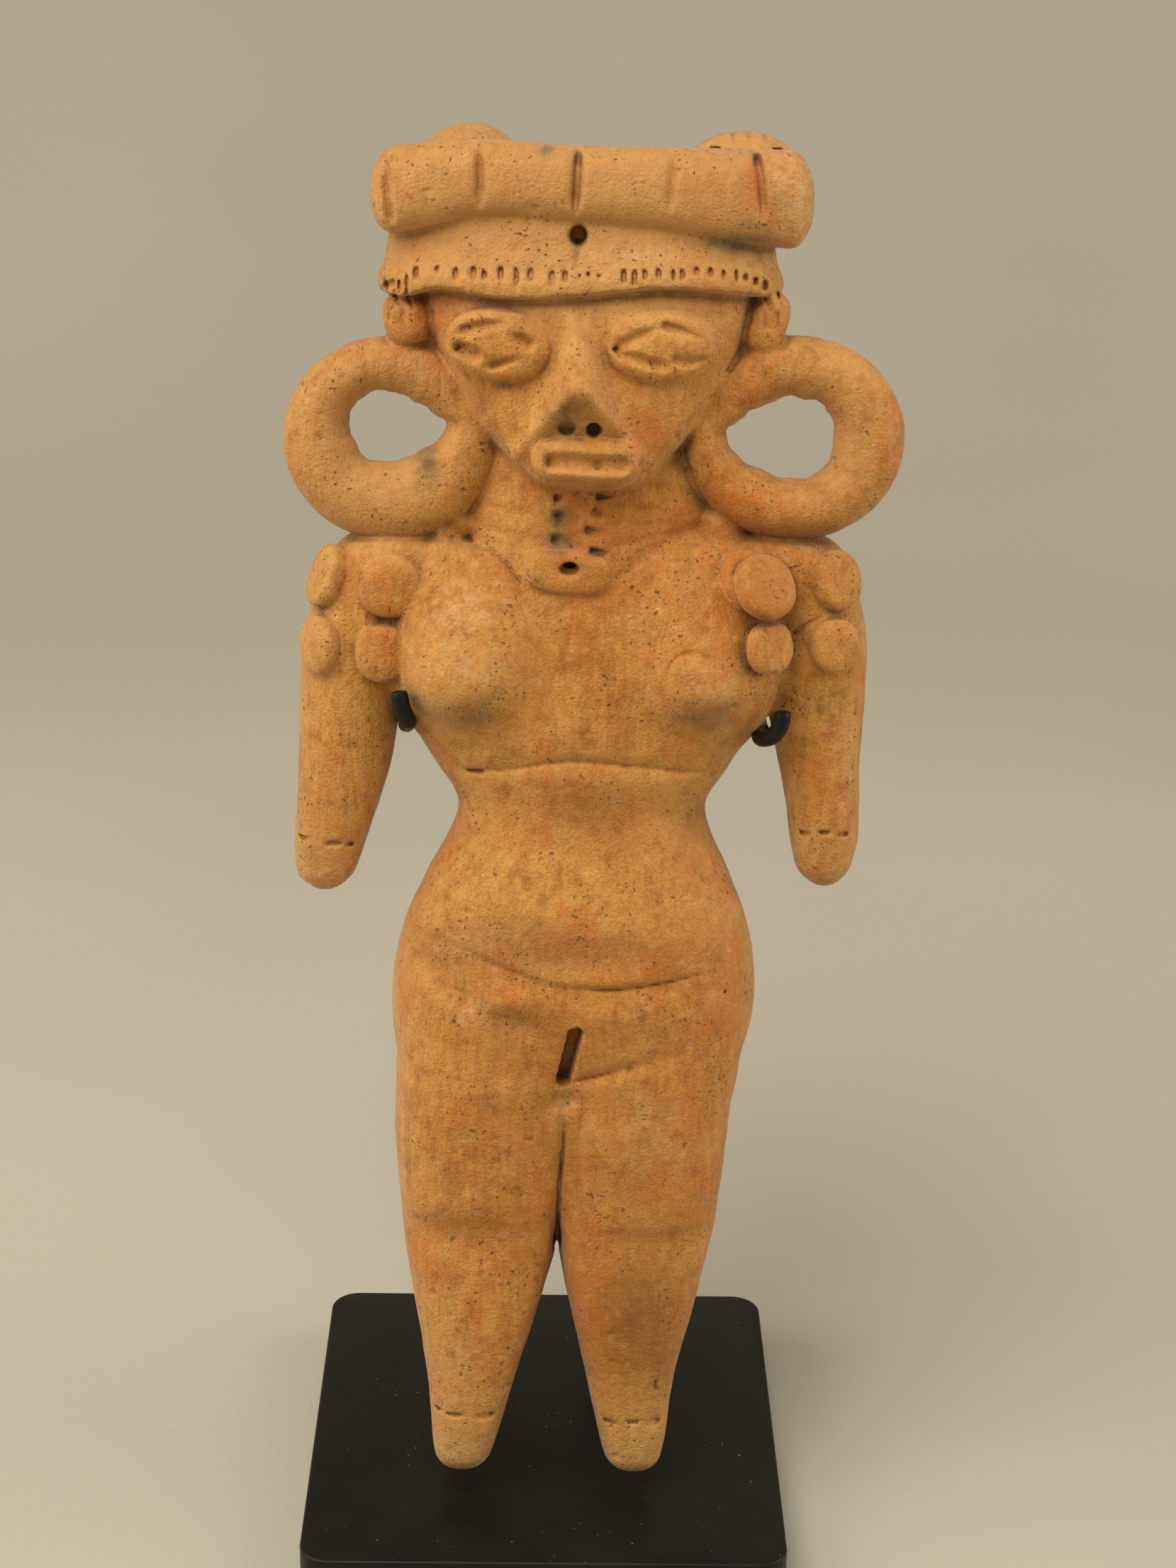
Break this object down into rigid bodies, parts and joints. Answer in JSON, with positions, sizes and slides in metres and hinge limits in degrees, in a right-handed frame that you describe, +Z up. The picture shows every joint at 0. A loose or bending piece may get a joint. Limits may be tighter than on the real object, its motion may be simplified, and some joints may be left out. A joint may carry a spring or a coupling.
{
  "type": "standing figurine on a wire stand",
  "caption": "Hand-modelled terracotta figurine of a standing woman with a headdress and ear rings, held upright by a black wire cradle on a square base plate.",
  "frame": {"origin": "centre of the base plate's underside", "axes": "+Z up, +X to the viewer's right, the figurine faces -Y"},
  "size_m": [0.0606, 0.0508, 0.1474],
  "materials": {
    "terracotta": "burnished fired clay with grey deposits in the hollows",
    "cradle_black": "satin black paint",
    "plate_black": "satin black paint with fine dust"
  },
  "bodies": {
    "root": {"figurine": "terracotta", "wire_cradle": "cradle_black", "base_plate": "plate_black"}
  },
  "joints": []
}
